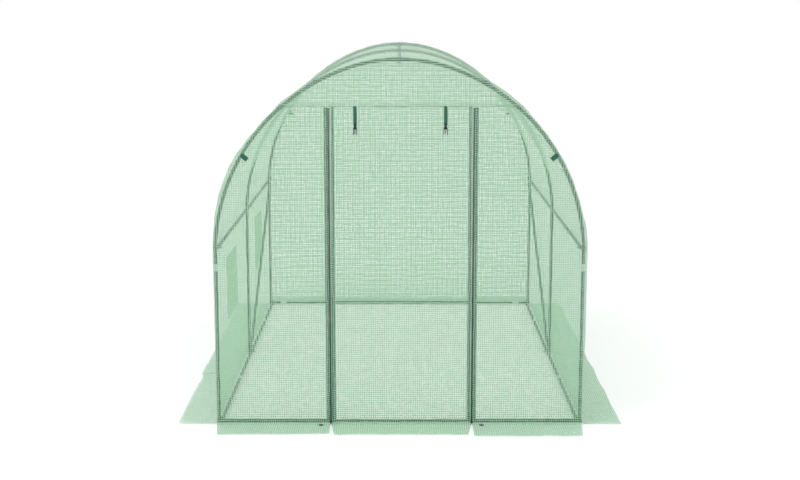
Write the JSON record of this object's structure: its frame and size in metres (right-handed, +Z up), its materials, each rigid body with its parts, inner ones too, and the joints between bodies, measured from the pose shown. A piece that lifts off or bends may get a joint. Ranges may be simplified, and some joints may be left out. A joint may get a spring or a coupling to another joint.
{
  "type": "polytunnel greenhouse",
  "caption": "Walk-in arched polytunnel with a bolted green tube frame, translucent reinforced film cover, zipped door, side windows and ground skirts.",
  "frame": {"origin": "on the ground, at the middle of the tunnel's length and width", "axes": "+Z up, +Y along the tunnel from the door end to the closed end, +X to the right seen from the door end"},
  "size_m": [2.471, 3.441, 2.0055],
  "materials": {
    "green_tube": "satin",
    "bolt_steel": "satin",
    "white_tie": "matte",
    "zip": "satin",
    "webbing": "matte",
    "black_plastic": "satin",
    "window_screen": "matte",
    "window_flap": "satin",
    "cover_film": "satin"
  },
  "bodies": {
    "root": {"back_ground_rail": "green_tube", "back_guy_loops": "webbing", "back_hoop_left": "green_tube", "back_hoop_right": "green_tube", "back_hoop_top": "green_tube", "back_skirt": "cover_film", "back_wall": "cover_film", "door_panel": "cover_film", "door_straps": "webbing", "frame_bolts": "bolt_steel", "frame_washers": "bolt_steel", "front_ground_rail": "green_tube", "front_guy_loops": "webbing", "front_hoop_left": "green_tube", "front_hoop_right": "green_tube", "front_hoop_top": "green_tube", "front_left_panel": "cover_film", "front_left_skirt": "cover_film", "front_middle_skirt": "cover_film", "front_right_panel": "cover_film", "front_right_skirt": "cover_film", "front_top_panel": "cover_film", "left_brace": "green_tube", "left_door_zip": "zip", "left_ground_rails": "green_tube", "left_side_rails": "green_tube", "left_skirt": "cover_film", "left_wall": "cover_film", "leg_ties": "white_tie", "middle_hoop_left": "green_tube", "middle_hoop_right": "green_tube", "middle_hoop_top": "green_tube", "rail_ties": "white_tie", "ridge_rails": "green_tube", "right_brace": "green_tube", "right_door_zip": "zip", "right_ground_rails": "green_tube", "right_side_rails": "green_tube", "right_skirt": "cover_film", "right_wall": "cover_film", "roof_cover": "cover_film", "skirt_eyelets": "black_plastic", "strap_buckles": "black_plastic", "window_flaps": "window_flap", "window_screens": "window_screen"}
  },
  "joints": []
}
